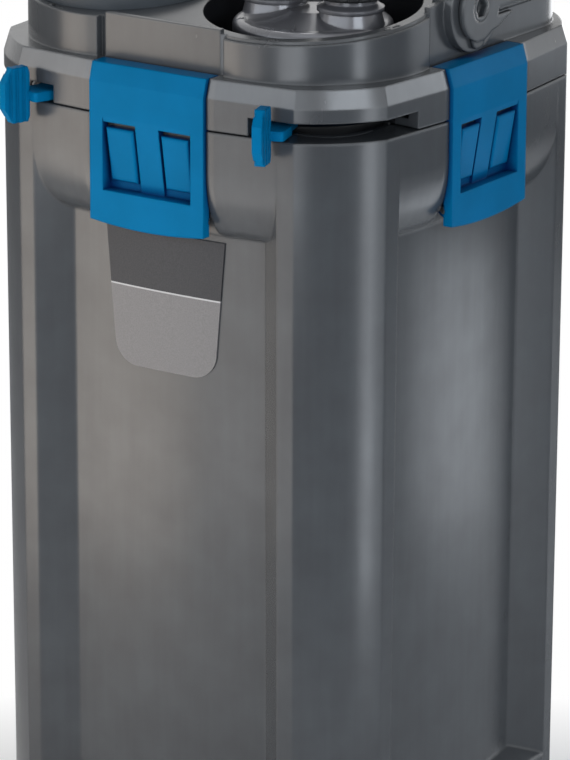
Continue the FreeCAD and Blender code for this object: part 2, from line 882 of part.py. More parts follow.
def clip():
    z = at_split(-pivot_drop)
    low = at_split(-window_bottom)
    top = at_split(-window_top)
    body = across(clip_profile(), -clip_half, clip_half)
    body = body.fuse(backing(low, top)).cut(window_cut(low, top))
    for side in (-1.0, 1.0):
        body = body.cut(pad_slot(side)).fuse(pad_block(side))
    knuckle = clip_half - knuckle_inset
    body = body.multiFuse([web(), cylinder_x(knuckle_radius, -pivot_depth, z, -knuckle, knuckle)])
    for place in (-ear_place, ear_place):
        x0 = place - 0.5 * ear_width - ear_gap
        x1 = place + 0.5 * ear_width + ear_gap
        body = body.cut(cylinder_x(knuckle_radius + ear_gap, -pivot_depth, z, x0, x1))
        body = body.cut(box(x0, x1, -pivot_depth, -bay_lower_depth, z - knuckle_radius, z + knuckle_radius))
    half = clip_half + over
    body = body.cut(cylinder_x(pin_radius + pin_clearance, -pivot_depth, z, -half, half))
    return body.cut(bottom_bow()).removeSplitter()


def pad_block(side):
    """A pad of the recess, slanted like the recess floor."""
    ends = sorted((side * pad_inner, side * pad_outer))
    high = at_split(-pad_top)
    low = at_split(-pad_bottom)
    back_high = clip_face - clip_thickness
    back_low = clip_face - window_slant - window_back
    points = [(-pad_rise - window_depth(low), low), (-pad_rise - window_depth(high), high),
              (-back_high, high), (-back_low, low)]
    block = across(points, ends[0], ends[1])
    front = min(block.Faces, key=lambda face: face.CenterOfMass.y)
    return block.makeFillet(pad_round, front.Edges)


def web():
    """Thin back wall that carries the pads."""
    back = -clip_face + window_slant + window_back - over
    half = window_half + over
    low = at_split(-window_bottom - backing_margin)
    return box(-half, half, back, back + web_thickness, low, at_split(-web_top))


def bottom_bow():
    """Trims the clip's lower corners, so that its edge bows down in the middle."""
    reach = clip_half + over
    y = -clip_face - over
    low = at_split(-clip_bottom)
    left = vec(-reach, y, low + clip_corner_rise)
    right = vec(reach, y, low + clip_corner_rise)
    down = vec(0, 0, -clip_corner_rise - clip_thickness)
    arc = Part.Arc(left, vec(0.0, y, low), right).toShape()
    corners = [right, right + down, left + down, left]
    lines = [Part.LineSegment(a, b).toShape() for a, b in zip(corners, corners[1:])]
    return Part.Face(Part.Wire([arc] + lines)).extrude(vec(0, 4.0 * clip_thickness, 0))


def clip_pins():
    half = clip_half - pin_inset
    pin = cylinder_x(pin_radius, -pivot_depth, at_split(-pivot_drop), -half, half)
    return Part.makeCompound([turned(pin, q) for q in sides])


# Lock levers


def fin_blade(x, y):
    """Upright plate with its four corners cut off."""
    middle = at_split(fin_middle)
    root = x + fin_inner
    tip = root + fin_depth
    half = 0.5 * fin_height
    upper = [(root, half - fin_root_rise), (root + fin_root_cut, half), (tip - fin_tip_cut, half),
             (tip, half - fin_tip_rise)]
    outline_points = upper + [(along, -rise) for along, rise in reversed(upper)]
    corners = [vec(along, y - 0.5 * fin_thickness, middle + rise) for along, rise in outline_points]
    return Part.Face(Part.makePolygon(corners + corners[:1])).extrude(vec(0, fin_thickness, 0))


def lever(x, angle):
    """Ring under a front tower with an arm and an upright grooved fin."""
    y = -tower_place
    low = at_split(ring_low)
    high = low + ring_thickness
    ring = tube(ring_outer, ring_inner, x, y, low, high)
    half = 0.5 * arm_width
    end = x + fin_inner + over
    arm = box(x + 0.5 * (ring_inner + ring_outer), end, y - half, y + half, low, high)
    flag = box(x + arm_wide_start, end, y - half, y + arm_wide, low, high)
    upright = [e for e in flag.Edges if min(v.X for v in e.Vertexes) > end - over
               and min(v.Y for v in e.Vertexes) > y + half]
    flag = flag.makeFillet(arm_round, upright)
    fin = fin_blade(x, y)
    middle = at_split(fin_middle)
    for number in range(fin_groove_count):
        x0 = x + fin_inner + fin_groove_start + number * fin_groove_pitch
        for side in (-1.0, 1.0):
            groove_y = y + side * 0.5 * fin_thickness
            fin = fin.cut(box(x0, x0 + fin_groove_width, groove_y - fin_groove, groove_y + fin_groove,
                              middle - fin_height, middle + fin_height))
    return about(joined([ring, arm, flag, fin]), x, y, angle)


def coupling_valve_disc():
    x = tower_place
    y = -tower_place
    low = at_split(-valve_low)
    disc = cylinder(valve_radius, x, y, low, low + valve_thickness)
    rim = tube(valve_radius, valve_radius - valve_rim, x, y, low + valve_thickness, at_split(ring_low))
    disc = disc.fuse(rim)
    for side in (-1.0, 1.0):
        port_x = x + side * neck_offset
        disc = disc.cut(cylinder(port_radius, port_x, y, low - over, low + valve_thickness + over))
    return disc


# Hose coupling


def neck_places():
    return [(tower_place - neck_offset, -tower_place), (tower_place + neck_offset, -tower_place)]


def coupling_dome():
    x = tower_place
    y = -tower_place
    plug_low = at_split(dome_plug_low)
    flange = at_split(dome_flange_low)
    top = at_split(dome_top)
    plug = cylinder(dome_plug_radius, x, y, plug_low, flange + over)
    plate_part = cylinder(dome_flange_radius, x, y, flange, flange + dome_flange_thickness)
    body = cylinder(dome_radius, x, y, flange, top)
    rim = [e for e in body.Edges if len(e.Vertexes) == 1 and abs(e.Vertexes[0].Z - top) < near]
    body = body.makeFillet(dome_edge, rim)
    rise = Part.makeCone(dome_cap_radius, neck_radius, dome_rise, vec(x, y, top))
    pieces = [plug, plate_part, body, rise]
    for nx, ny in neck_places():
        foot = dome_top - neck_flare_root
        pieces.append(Part.makeCone(neck_flare_radius, neck_radius + neck_flare_rise, neck_ring_low - foot,
                                    vec(nx, ny, at_split(foot))))
        pieces.append(cylinder(neck_ring_radius, nx, ny, at_split(neck_ring_low), at_split(neck_ring_top)))
        pieces.append(Part.makeCone(neck_ring_radius, neck_radius, neck_ring_high - neck_ring_top,
                                    vec(nx, ny, at_split(neck_ring_top))))
        pieces.append(cylinder(neck_radius, nx, ny, at_split(dome_top), at_split(neck_high)))
    dome = joined(pieces)
    for nx, ny in neck_places():
        dome = dome.cut(cylinder(port_radius, nx, ny, plug_low - over, at_split(neck_high + over)))
    level = at_split(o_ring_low)
    inner = dome_plug_radius - o_ring_depth
    return dome.cut(tube(dome_plug_radius + over, inner, x, y, level, level + o_ring_width))


def coupling_o_ring():
    """Ring of round section in the groove of the coupling's plug."""
    level = at_split(o_ring_low) + 0.5 * o_ring_width
    radius = dome_plug_radius - o_ring_depth + o_ring_wire
    return Part.makeTorus(radius, o_ring_wire, vec(tower_place, -tower_place, level))


def hose_nut(x, y):
    low = at_split(nut_low)
    high = at_split(nut_high)
    nut = cylinder(nut_radius, x, y, low, high)
    edge = [e for e in nut.Edges if len(e.Vertexes) == 1]
    nut = nut.makeChamfer(nut_chamfer, edge)
    inside = neck_radius + nut_clearance
    nut = nut.cut(cylinder(inside, x, y, low - over, high - nut_lid))
    nut = nut.cut(cylinder(tail_radius + nut_wall_gap, x, y, low, high + over))
    rib = cylinder(nut_rib, x + nut_radius, y, low - over, high + over)
    cuts = [about(rib, x, y, 360.0 * k / nut_rib_count) for k in range(nut_rib_count)]
    return nut.cut(cuts[0].multiFuse(cuts[1:]))


def hose_tail(x, y):
    """Hose tail with its collar under the nut's lid, two barbs and a plain tip."""
    base = at_split(neck_high)
    top = at_split(tail_high)
    collar_top = base + tail_collar
    tail = cylinder(tail_collar_radius, x, y, base, collar_top).fuse(cylinder(tail_radius, x, y, base, top))
    for number in range(barb_count):
        z = top - tail_tip - barb_length - barb_step * number
        tail = tail.fuse(Part.makeCone(tail_radius + barb_rise, tail_radius, barb_length, vec(x, y, z)))
    return tail.cut(cylinder(tail_bore, x, y, base - over, top + over)).removeSplitter()


# Prefilter


def prefilter_cap():
    """Round cap with a dish and a grip bar."""
    low = at_split(cap_low)
    rim = at_split(cap_rim)
    lid = cylinder(cap_radius, cap_x, cap_y, rim - cap_lid, rim)
    edge = [e for e in lid.Edges if len(e.Vertexes) == 1 and abs(e.Vertexes[0].Z - rim) < cap_edge]
    lid = lid.makeFillet(cap_edge, edge)
    skirt = tube(cap_radius, cap_radius - cap_wall, cap_x, cap_y, low, rim - cap_lid + over)
    dish_low = cap_dish_radius - cap_dish_rise
    dish = Part.makeCone(cap_dish_radius, dish_low, cap_dish_rise, vec(cap_x, cap_y, rim))
    bar = box(cap_x - 0.5 * cap_bar_length, cap_x + 0.5 * cap_bar_length, cap_y - 0.5 * cap_bar_width,
              cap_y + 0.5 * cap_bar_width, rim, rim + cap_bar_height)
    upright = [e for e in bar.Edges if abs(e.Vertexes[0].Z - e.Vertexes[1].Z) > 1.0]
    bar = bar.makeFillet(cap_bar_round, upright)
    return joined([lid, skirt, dish, about(bar, cap_x, cap_y, cap_bar_turn)])


def prefilter_cage():
    """Strainer cup that stands on the head's floor inside the lock ring."""
    x = -tower_place
    y = -tower_place
    low = at_split(-cage_low)
    cage = tube(cage_radius, cage_radius - cage_wall, x, y, low, at_split(cage_high))
    cage = cage.fuse(cylinder(cage_radius, x, y, low, low + cage_wall))
    for number in range(cage_hole_count):
        hole = cylinder(cage_hole_radius, x + cage_hole_place, y, low - over, low + cage_wall + over)
        cage = cage.cut(about(hole, x, y, 360.0 * number / cage_hole_count))
    return cage.removeSplitter()


def prefilter_sponge():
    x = -tower_place
    y = -tower_place
    low = at_split(-cage_low) + cage_wall + sponge_gap
    return cylinder(sponge_radius, x, y, low, at_split(cap_rim - cap_lid - sponge_gap))


# Handle


def handle():
    z = at_split(pivot_height)
    inner = ear_disc_face + handle_gap
    outer = inner + handle_thickness
    back = handle_grip_inner + handle_grip_depth
    arm = box(-outer, outer, 0.0, back, z - handle_arm_low, z + handle_arm_high)
    corners = [e for e in arm.Edges if abs(e.Vertexes[0].Z - e.Vertexes[1].Z) > 1.0
               and e.Vertexes[0].Y > 0.5 * back]
    arm = arm.makeFillet(handle_corner, corners)
    frame = arm.cut(box(-inner, inner, -1.0, handle_grip_inner, z - half_width, z + half_width))
    long_edges = [e for e in frame.Edges if abs(e.BoundBox.YMax - back) < near
                  and e.BoundBox.XLength > inner and e.BoundBox.ZLength < near]
    frame = frame.makeFillet(handle_grip_round, long_edges)
    eye = cylinder_x(handle_eye, 0.0, z, inner, outer)
    root = z - handle_eye + handle_tab_root
    tip = z - handle_eye - handle_tab_length
    half = 0.5 * handle_tab_width
    tab_side = [(half, root), (handle_tab_shoulder, tip + handle_tab_tip), (handle_tab_end, tip)]
    tab_side += [(-along, height) for along, height in reversed(tab_side)]
    tab = across(tab_side, inner, inner + handle_tab_thickness)
    gusset = [(handle_eye * place, z - handle_eye * depth) for place, depth in handle_gusset]
    gusset += [(handle_eye * handle_gusset_end, z - handle_arm_low), (gusset[0][0], z - handle_arm_low)]
    side = eye.multiFuse([tab, across(gusset, inner, outer)])
    body = joined([frame, side, mirrored(side)])
    hole = cylinder_x(bolt_radius + bolt_clearance, 0.0, z, -half_width, half_width)
    return body.cut(hole)


def handle_pivot_bolts():
    z = at_split(pivot_height)
    outer = ear_disc_face + handle_gap + handle_thickness
    bolt = cylinder_x(bolt_radius, 0.0, z, ear_disc_root, outer)
    corner = socket_flat / math.sqrt(3.0)
    turns = [2.0 * math.pi * k / socket_sides for k in range(socket_sides)]
    points = [(corner * math.cos(turn), z + corner * math.sin(turn)) for turn in turns]
    bolt = bolt.cut(across(points, outer - socket_depth, outer + over))
    return Part.makeCompound([bolt, mirrored(bolt)])


# Pump under the head


def motor_housing():
    low = at_split(-housing_bottom)
    top = at_split(-bulkhead_low)
    can = cylinder(housing_radius, 0.0, pump_y, low, top)
    room = cylinder(housing_radius - housing_wall, 0.0, pump_y, low + housing_wall, top + over)
    well = cylinder(well_outer, 0.0, pump_y, low, at_split(-well_top + well_cap))
    bore = cylinder(well_inner, 0.0, pump_y, low - over, at_split(-well_top))
    return can.cut(room).fuse(well).cut(bore).removeSplitter()


def stator_core():
    return tube(core_outer, well_outer + core_gap, 0.0, pump_y, at_split(-core_low), at_split(-core_high))


def stator_coil():
    return tube(coil_outer, well_outer + coil_gap, 0.0, pump_y, at_split(-core_high), at_split(-coil_high))


def rotor():
    """Magnet with the impeller's hub and blades."""
    magnet = cylinder(rotor_radius, 0.0, pump_y, at_split(-rotor_low), at_split(-rotor_high))
    hub = cylinder(impeller_hub, 0.0, pump_y, at_split(-blade_low), at_split(-rotor_low))
    pieces = [magnet, hub]
    for number in range(blade_count):
        blade = box(0.5 * impeller_hub, blade_reach, pump_y - 0.5 * blade_thickness,
                    pump_y + 0.5 * blade_thickness, at_split(-blade_low), at_split(-blade_high))
        pieces.append(about(blade, 0.0, pump_y, 360.0 * number / blade_count))
    shape = joined(pieces)
    bore = cylinder(shaft_radius + shaft_clearance, 0.0, pump_y, at_split(-shaft_low), at_split(0.0))
    return shape.cut(bore)


def impeller_shaft():
    return cylinder(shaft_radius, 0.0, pump_y, at_split(-shaft_low), at_split(-well_top))


def shaft_bushes():
    top = at_split(-well_top)
    upper = tube(bush_radius, shaft_radius, 0.0, pump_y, top - bush_length, top)
    low = at_split(-cover_low + cover_wall)
    lower = tube(bush_radius, shaft_radius, 0.0, pump_y, low, low + lower_bush_length)
    return Part.makeCompound([upper, lower])


def impeller_cover():
    low = at_split(-cover_low)
    top = at_split(-housing_bottom)
    cup = cylinder(housing_radius, 0.0, pump_y, low, top)
    cup = cup.cut(cylinder(housing_radius - cover_wall, 0.0, pump_y, low + cover_wall, top + over))
    cup = cup.cut(cylinder(cover_inlet + bush_radius, 0.0, pump_y, low - over, low + cover_wall + over))
    reach = cover_inlet + bush_radius + over
    half = 0.5 * spider_width
    spider = [cylinder(bush_radius, 0.0, pump_y, low, low + cover_wall),
              box(-reach, reach, pump_y - half, pump_y + half, low, low + cover_wall),
              box(-half, half, pump_y - reach, pump_y + reach, low, low + cover_wall)]
    cup = joined([cup] + spider)
    room = 0.5 * duct_width - duct_wall
    outlet = box(-room, room, pump_y - 2.0 * housing_radius, pump_y, low + cover_wall, top - outlet_drop)
    outlet = outlet.cut(cylinder(housing_radius - cover_wall, 0.0, pump_y, low, top))
    shaft_hole = cylinder(shaft_radius, 0.0, pump_y, at_split(-shaft_low), top)
    return cup.cut(outlet).cut(shaft_hole)


def outlet_duct():
    """Duct from the pump's side outlet up to the port under the left neck."""
    x_port = tower_place - neck_offset
    y_port = -tower_place
    top = at_split(-bulkhead_low)
    low = at_split(-cover_low + cover_wall - duct_wall)
    y_pump = pump_y - math.sqrt(housing_radius ** 2 - (0.5 * duct_width) ** 2)
    half = 0.5 * duct_width
    run_top = at_split(-housing_bottom - outlet_drop + duct_wall)
    run = plate([(-half, y_pump), (-half, y_port - half), (x_port + half, y_port - half),
                 (x_port + half, y_port + half), (half, y_port + half), (half, y_pump)], low, run_top)
    inner = half - duct_wall
    run_room = plate([(-inner, y_pump + over), (-inner, y_port - inner), (x_port + inner, y_port - inner),
                      (x_port + inner, y_port + inner), (inner, y_port + inner), (inner, y_pump + over)],
                     low + duct_wall, run_top - duct_wall)
    rise = cylinder(half, x_port, y_port, low, top)
    rise_room = cylinder(inner, x_port, y_port, low + duct_wall, top + over)
    duct = run.fuse(rise).cut(run_room).cut(rise_room)
    clear = cylinder(housing_radius + duct_gap, 0.0, pump_y, low - over, top)
    return duct.cut(clear).removeSplitter()


# Baskets


def basket_plan(inset, z0, z1):
    """Square with a notch for the riser tube."""
    shape = rounded_square(basket_half - inset, basket_round - inset, z0, z1)
    notch = box(basket_notch_x - inset, half_width, -half_width, basket_notch_y + inset, z0 - over, z1 + over)
    return shape.cut(notch)


def basket_level(number):
    """Bottom of a basket; the lowest stands on the container's floor."""
    return foot_height + floor_thickness + basket_gap + number * basket_pitch


def basket(number):
    low = basket_level(number)
    top = low + basket_pitch
    shape = basket_plan(0.0, low, top).cut(basket_plan(basket_wall, low + basket_wall, top + over))
    pitch = 2.0 * (basket_half - basket_round) / basket_slot_count
    slots = []
    for row in range(basket_slot_count):
        y = -basket_half + basket_round + (row + 0.5) * pitch
        x1 = basket_notch_x - basket_slot_margin
        x0 = x1 - basket_slot_length
        y0 = y - 0.5 * basket_slot_width
        slots.append(box(x0, x1, y0, y0 + basket_slot_width, low - over, low + basket_wall + over))
    return shape.cut(Part.makeCompound(slots))


def media(number):
    low = basket_level(number) + basket_wall + media_gap
    return basket_plan(basket_wall + media_gap, low, low + media_height)


def basket_bails():
    """Folded wire bails, one lying on the media of each basket."""
    bails = []
    for number in range(basket_count):
        z = basket_level(number) + basket_wall + 2.0 * media_gap + media_height + bail_wire
        ends = (-0.5 * bail_width - bail_offset, 0.5 * bail_width - bail_offset)
        bar = cylinder_x(bail_wire, 0.0, z, ends[0], ends[1])
        arms = [cylinder_y(bail_wire, x, z, 0.0, bail_arm) for x in ends]
        joints = [Part.makeSphere(bail_wire, vec(x, 0, z)) for x in ends]
        bails.append(joined([bar] + arms + joints))
    return Part.makeCompound(bails)


def riser_tube():
    x = tower_place + neck_offset
    y = -tower_place
    return tube(riser_radius, riser_bore, x, y, riser_low, at_split(-bulkhead_low))


# Badge


def label_plate():
    """Blank badge that follows the front panel."""
    high = at_split(-label_top)
    low = at_split(-label_bottom)
    corners = [vec(x, -half_width, z) for x, z in ((-label_half, high), (label_half, high),
                                                   (label_narrow, low), (-label_narrow, low))]
    shield = Part.Face(Part.makePolygon(corners + corners[:1]))
    shield = shield.extrude(vec(0, wall + half_width - panel_depth, 0))
    lower = [e for e in shield.Edges if max(v.Z for v in e.Vertexes) < low + over
             and abs(e.Vertexes[0].Y - e.Vertexes[1].Y) > over]
    shield = shield.makeFillet(label_round, lower)
    outer = label_gap + label_thickness
    skin = tapered(column_side(), taper - outer, -outer, foot_height, at_split(0.0))
    body = tapered(column_side(), taper - label_gap, -label_gap, foot_height, at_split(0.0))
    return shield.common(skin).cut(body)


def build():
    save("canister", canister())
    save("rubber_feet", rubber_feet())
    save("clip_pins", clip_pins())
    one_clip = clip()
    for quarter in sides:
        save("clip_" + side_names[quarter], turned(one_clip, quarter))
    save("head_casing", head_casing())
    save("head_deck", head_deck())
    save("deck_screws", deck_screws())
    save("head_seal", head_seal())
    save("cable_gland", cable_gland())
    save("coupling_lock_lever", lever(tower_place, coupling_lever_angle))
    save("prefilter_lock_lever", lever(-tower_place, prefilter_lever_angle))
    save("coupling_valve_disc", coupling_valve_disc())
    save("coupling_dome", coupling_dome())
    save("coupling_o_ring", coupling_o_ring())
    for name, (x, y) in zip(("out", "in"), neck_places()):
        save("hose_nut_" + name, hose_nut(x, y))
        save("hose_tail_" + name, hose_tail(x, y))
    save("prefilter_cap", prefilter_cap())
    save("prefilter_cage", prefilter_cage())
    save("prefilter_sponge", prefilter_sponge())
    save("handle", handle())
    save("handle_pivot_bolts", handle_pivot_bolts())
    save("motor_housing", motor_housing())
    save("stator_core", stator_core())
    save("stator_coil", stator_coil())
    save("rotor", rotor())
    save("impeller_shaft", impeller_shaft())
    save("shaft_bushes", shaft_bushes())
    save("impeller_cover", impeller_cover())
    save("outlet_duct", outlet_duct())
    save("riser_tube", riser_tube())
    for number in range(basket_count):
        save("basket_" + str(number + 1), basket(number))
        save("media_" + str(number + 1), media(number))
    save("basket_bails", basket_bails())
    save("label_plate", label_plate())


build()
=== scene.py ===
import math

import bmesh
import bpy
from mathutils import Matrix, Vector
from mathutils.bvhtree import BVHTree


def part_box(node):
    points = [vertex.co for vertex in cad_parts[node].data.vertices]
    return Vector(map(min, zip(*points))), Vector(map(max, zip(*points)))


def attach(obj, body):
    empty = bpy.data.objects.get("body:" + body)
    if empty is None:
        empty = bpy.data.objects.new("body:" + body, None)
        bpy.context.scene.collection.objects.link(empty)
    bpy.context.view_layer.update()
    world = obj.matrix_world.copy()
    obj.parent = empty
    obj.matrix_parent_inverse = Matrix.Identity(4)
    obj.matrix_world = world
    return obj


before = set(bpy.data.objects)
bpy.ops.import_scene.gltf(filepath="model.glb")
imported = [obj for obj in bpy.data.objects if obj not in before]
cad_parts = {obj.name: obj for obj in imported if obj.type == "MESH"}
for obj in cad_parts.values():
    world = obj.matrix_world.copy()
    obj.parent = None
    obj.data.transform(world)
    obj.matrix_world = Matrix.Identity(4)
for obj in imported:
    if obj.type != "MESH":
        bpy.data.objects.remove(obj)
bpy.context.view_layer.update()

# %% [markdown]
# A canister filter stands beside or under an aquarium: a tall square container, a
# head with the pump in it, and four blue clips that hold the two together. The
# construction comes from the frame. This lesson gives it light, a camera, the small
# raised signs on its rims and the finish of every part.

MM = 0.001
# The head sits on the container at this height.
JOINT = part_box("canister")[1][2]
# The axes of the two towers stand this far to the side and to the front.
TOWER = 50 * MM
print("container ends at", round(JOINT, 4), "m")

# %% [markdown]
# The camera stands well away with a long lens, to the right of the front and a little
# above, so upright edges stay nearly parallel. Its place was found by matching about
# sixty points of the object with the photograph. The horizontal sensor fit ties the
# focal length to the width of the picture.

# %% Camera
SENSOR = 36.0
FOCAL = 306.28
TURN = math.radians(34.33)
RISE = math.radians(16.95)
ROLL = math.radians(0.21)
DISTANCE = 2513.8 * MM
SIDESTEP = -0.4 * MM
DROP = -157.9 * MM

backward = Vector((math.sin(TURN) * math.cos(RISE), -math.cos(TURN) * math.cos(RISE), math.sin(RISE)))
level = Vector((math.cos(TURN), math.sin(TURN), 0.0))
upward = backward.cross(level)
right = math.cos(ROLL) * level + math.sin(ROLL) * upward
up = math.cos(ROLL) * upward - math.sin(ROLL) * level
stand = Vector((0, 0, JOINT)) + SIDESTEP * level + DROP * upward + DISTANCE * backward

camera_data = bpy.data.cameras.new("camera")
camera_data.sensor_fit = "HORIZONTAL"
camera_data.sensor_width = SENSOR
camera_data.lens = FOCAL
camera = bpy.data.objects.new("camera", camera_data)
camera.matrix_world = Matrix.Translation(stand) @ Matrix((right, up, backward)).transposed().to_4x4()
bpy.context.collection.objects.link(camera)
bpy.context.scene.camera = camera
print("camera stands at", [round(v, 3) for v in stand])

# %% [markdown]
# Colours are written as sRGB hex values, as a paint chart gives them. Shaders work in
# linear light, so one function turns the first into the second. One more function
# adds a shader node with its settings, its links and, where it is a colour ramp, its
# stops. That keeps every material short.

# %% Colours and nodes


def linear(code):
    """Linear red, green and blue of an sRGB hex value, with an alpha of 1."""
    values = []
    for start in (1, 3, 5):
        part = int(code[start:start + 2], 16) / 255
        values.append(part / 12.92 if part <= 0.04045 else ((part + 0.055) / 1.055) ** 2.4)
    return (*values, 1.0)


def add(tree, kind, settings=None, inputs=None, stops=()):
    """Adds a node; an input is a value or the socket that feeds it, a stop is place and colour."""
    node = tree.nodes.new(kind)
    for name, value in (settings or {}).items():
        setattr(node, name, value)
    for name, value in (inputs or {}).items():
        if isinstance(value, bpy.types.NodeSocket):
            tree.links.new(value, node.inputs[name])
        else:
            node.inputs[name].default_value = value
    for index, (place, code) in enumerate(stops):
        node.color_ramp.elements[index].position = place
        node.color_ramp.elements[index].color = linear(code)
    return node


print("mid grey in linear light", round(linear("#808080")[0], 3))

# %% [markdown]
# A satin plastic body is lit by what it mirrors. The camera looks down a little, so an
# upright face mirrors what stands low and close by. Small soft boxes half a metre away
# give each of these faces one soft gradient. Higher ones at a metre are mirrored by the
# sloping bevels, one overhead lights the deck, and two stand behind. Each lamp is given
# by its angle from the front, its distance and height, its size, its power and colour.
# The Standard view transform shows a colour about as it is written.

# %% Lamps
AIM_HEIGHT = 0.31
bpy.context.scene.view_settings.view_transform = "Standard"


def soft_box(name, turn, distance, height, size, watts, code):
    """A lamp that points at the filter's axis; turn is in degrees, positive to the right."""
    way = math.radians(turn)
    lamp = bpy.data.lights.new(name, "AREA")
    lamp.shape = "RECTANGLE"
    lamp.size, lamp.size_y = size
    lamp.energy = watts
    lamp.color = linear(code)[:3]
    place = Vector((math.sin(way) * distance, -math.cos(way) * distance, height))
    item = bpy.data.objects.new(name, lamp)
    item.location = place
    item.visible_camera = False
    aim = Vector((0, 0, min(height, AIM_HEIGHT)))
    item.rotation_euler = (aim - place).to_track_quat("-Z", "Y").to_euler()
    bpy.context.collection.objects.link(item)


soft_box("left_soft_box", -37, 0.55, 0.26, (0.24, 0.5), 1.0, "#FFF2E4")
soft_box("front_soft_box", -14, 0.55, 0.22, (0.16, 0.4), 0.32, "#FFF8F2")
soft_box("tower_soft_box", 20, 0.55, 0.34, (0.2, 0.22), 0.38, "#F6FAFF")
soft_box("right_soft_box", 71, 0.55, 0.26, (0.09, 0.5), 0.5, "#F2F8FF")
soft_box("right_rear_soft_box", 137, 0.55, 0.10, (0.18, 0.18), 0.18, "#F2F8FF")
soft_box("shoulder_soft_box", 140, 0.55, 0.36, (0.4, 0.12), 0.14, "#F2F8FF")
soft_box("bevel_soft_box", -8, 1.1, 0.70, (1.9, 0.3), 4.4, "#ECF5FF")
soft_box("corner_bevel_soft_box", 60, 1.1, 0.76, (0.6, 0.2), 2.6, "#ECF5FF")
soft_box("right_bevel_soft_box", 134, 1.1, 0.60, (0.4, 0.3), 1.2, "#ECF5FF")
soft_box("top_soft_box", 30, 0.5, 1.7, (0.9, 0.7), 2.0, "#F0F7FF")
soft_box("rear_soft_box", -142, 0.7, 1.6, (0.6, 0.4), 3.0, "#FAFCFF")
soft_box("back_soft_box", 185, 1.2, 0.35, (0.6, 0.5), 2.8, "#FAFCFF")
print("lamps", len(bpy.data.lights), "with", round(sum(lamp.energy for lamp in bpy.data.lights), 2), "W")

# %% [markdown]
# The world is dim for the object, so that the lamps alone shape it. It is white for the
# camera and for what shiny and clear surfaces show. The Light Path node tells these
# rays apart.

# %% World
WORLD_STRENGTH = 0.04

world = bpy.data.worlds.new("studio")
bpy.context.scene.world = world
world.use_nodes = True
tree = world.node_tree
tree.nodes.clear()
path = add(tree, "ShaderNodeLightPath").outputs
seen = add(tree, "ShaderNodeMath", {"operation": "MAXIMUM"},
           {0: path["Is Camera Ray"], 1: path["Is Glossy Ray"]})
seen = add(tree, "ShaderNodeMath", {"operation": "MAXIMUM"},
           {0: seen.outputs[0], 1: path["Is Transmission Ray"]})
dim = add(tree, "ShaderNodeBackground", inputs={"Color": linear("#F4F8FF"), "Strength": WORLD_STRENGTH})
white = add(tree, "ShaderNodeBackground", inputs={"Color": linear("#FFFFFF"), "Strength": 1.0})
mixed = add(tree, "ShaderNodeMixShader", inputs={0: seen.outputs[0], 1: dim.outputs[0], 2: white.outputs[0]})
add(tree, "ShaderNodeOutputWorld", inputs={"Surface": mixed.outputs[0]})
print("world", world.name, "lights the object with", WORLD_STRENGTH)

# %% [markdown]
# The floor is one plain pale sheet. Round the foot it is matt paper that keeps the
# filter's shadow. Further out and behind the filter it runs over into the same white as
# the background, so the picture has no horizon and the pools of light under the lamps
# don't show. In the mirror of the plastic the white begins further back, which keeps
# the flanks as dark as in the photo.

# %% Floor
FLOOR_HALF = 6.0
PAPER_TO = -0.05
WHITE_FROM = 0.15
SHADOW_TO = 0.20
ROUND_WHITE_FROM = 0.42
MIRRORED_PAPER_TO = 1.5
MIRRORED_WHITE_FROM = 4.0


def floor_material():
    """Paper that runs over into white; reach is the way back from the foot, away the way out."""
    material = bpy.data.materials.new("matt_white_paper")
    material.use_nodes = True
    tree = material.node_tree
    tree.nodes.clear()
    place = add(tree, "ShaderNodeTexCoord").outputs["Object"]
    behind = (-math.sin(TURN), math.cos(TURN), 0.0)
    reach = add(tree, "ShaderNodeVectorMath", {"operation": "DOT_PRODUCT"},
                {0: place, 1: behind}).outputs["Value"]
    path = add(tree, "ShaderNodeLightPath").outputs
    back = add(tree, "ShaderNodeMapRange",
               inputs={"Value": reach, "From Min": PAPER_TO, "From Max": WHITE_FROM})
    away = add(tree, "ShaderNodeVectorMath", {"operation": "LENGTH"}, {0: place}).outputs["Value"]
    out = add(tree, "ShaderNodeMapRange",
              inputs={"Value": away, "From Min": SHADOW_TO, "From Max": ROUND_WHITE_FROM})
    near = add(tree, "ShaderNodeMath", {"operation": "MAXIMUM"}, {0: back.outputs[0], 1: out.outputs[0]})
    far = add(tree, "ShaderNodeMapRange",
              inputs={"Value": reach, "From Min": MIRRORED_PAPER_TO, "From Max": MIRRORED_WHITE_FROM})
    mirror = add(tree, "ShaderNodeMath", {"operation": "MAXIMUM"},
                 {0: path["Is Glossy Ray"], 1: path["Is Transmission Ray"]})
    straight = add(tree, "ShaderNodeMath", {"operation": "MULTIPLY"},
                   {0: path["Is Camera Ray"], 1: near.outputs[0]})
    mirrored = add(tree, "ShaderNodeMath", {"operation": "MULTIPLY"},
                   {0: mirror.outputs[0], 1: far.outputs[0]})
    share = add(tree, "ShaderNodeMath", {"operation": "ADD"},
                {0: straight.outputs[0], 1: mirrored.outputs[0]})
    paper = add(tree, "ShaderNodeBsdfDiffuse", inputs={"Color": linear("#F2F2F2")})
    white = add(tree, "ShaderNodeEmission", inputs={"Color": linear("#FFFFFF"), "Strength": 1.0})
    mixed = add(tree, "ShaderNodeMixShader",
                inputs={0: share.outputs[0], 1: paper.outputs[0], 2: white.outputs[0]})
    add(tree, "ShaderNodeOutputMaterial", inputs={"Surface": mixed.outputs[0]})
    return material


sheet = bmesh.new()
bmesh.ops.create_grid(sheet, x_segments=1, y_segments=1, size=FLOOR_HALF)
floor_mesh = bpy.data.meshes.new("floor")
sheet.to_mesh(floor_mesh)
sheet.free()
floor = bpy.data.objects.new("floor", floor_mesh)
bpy.context.collection.objects.link(floor)
floor_mesh.materials.append(floor_material())
print("floor sides", [round(v, 2) for v in floor.dimensions[:2]])

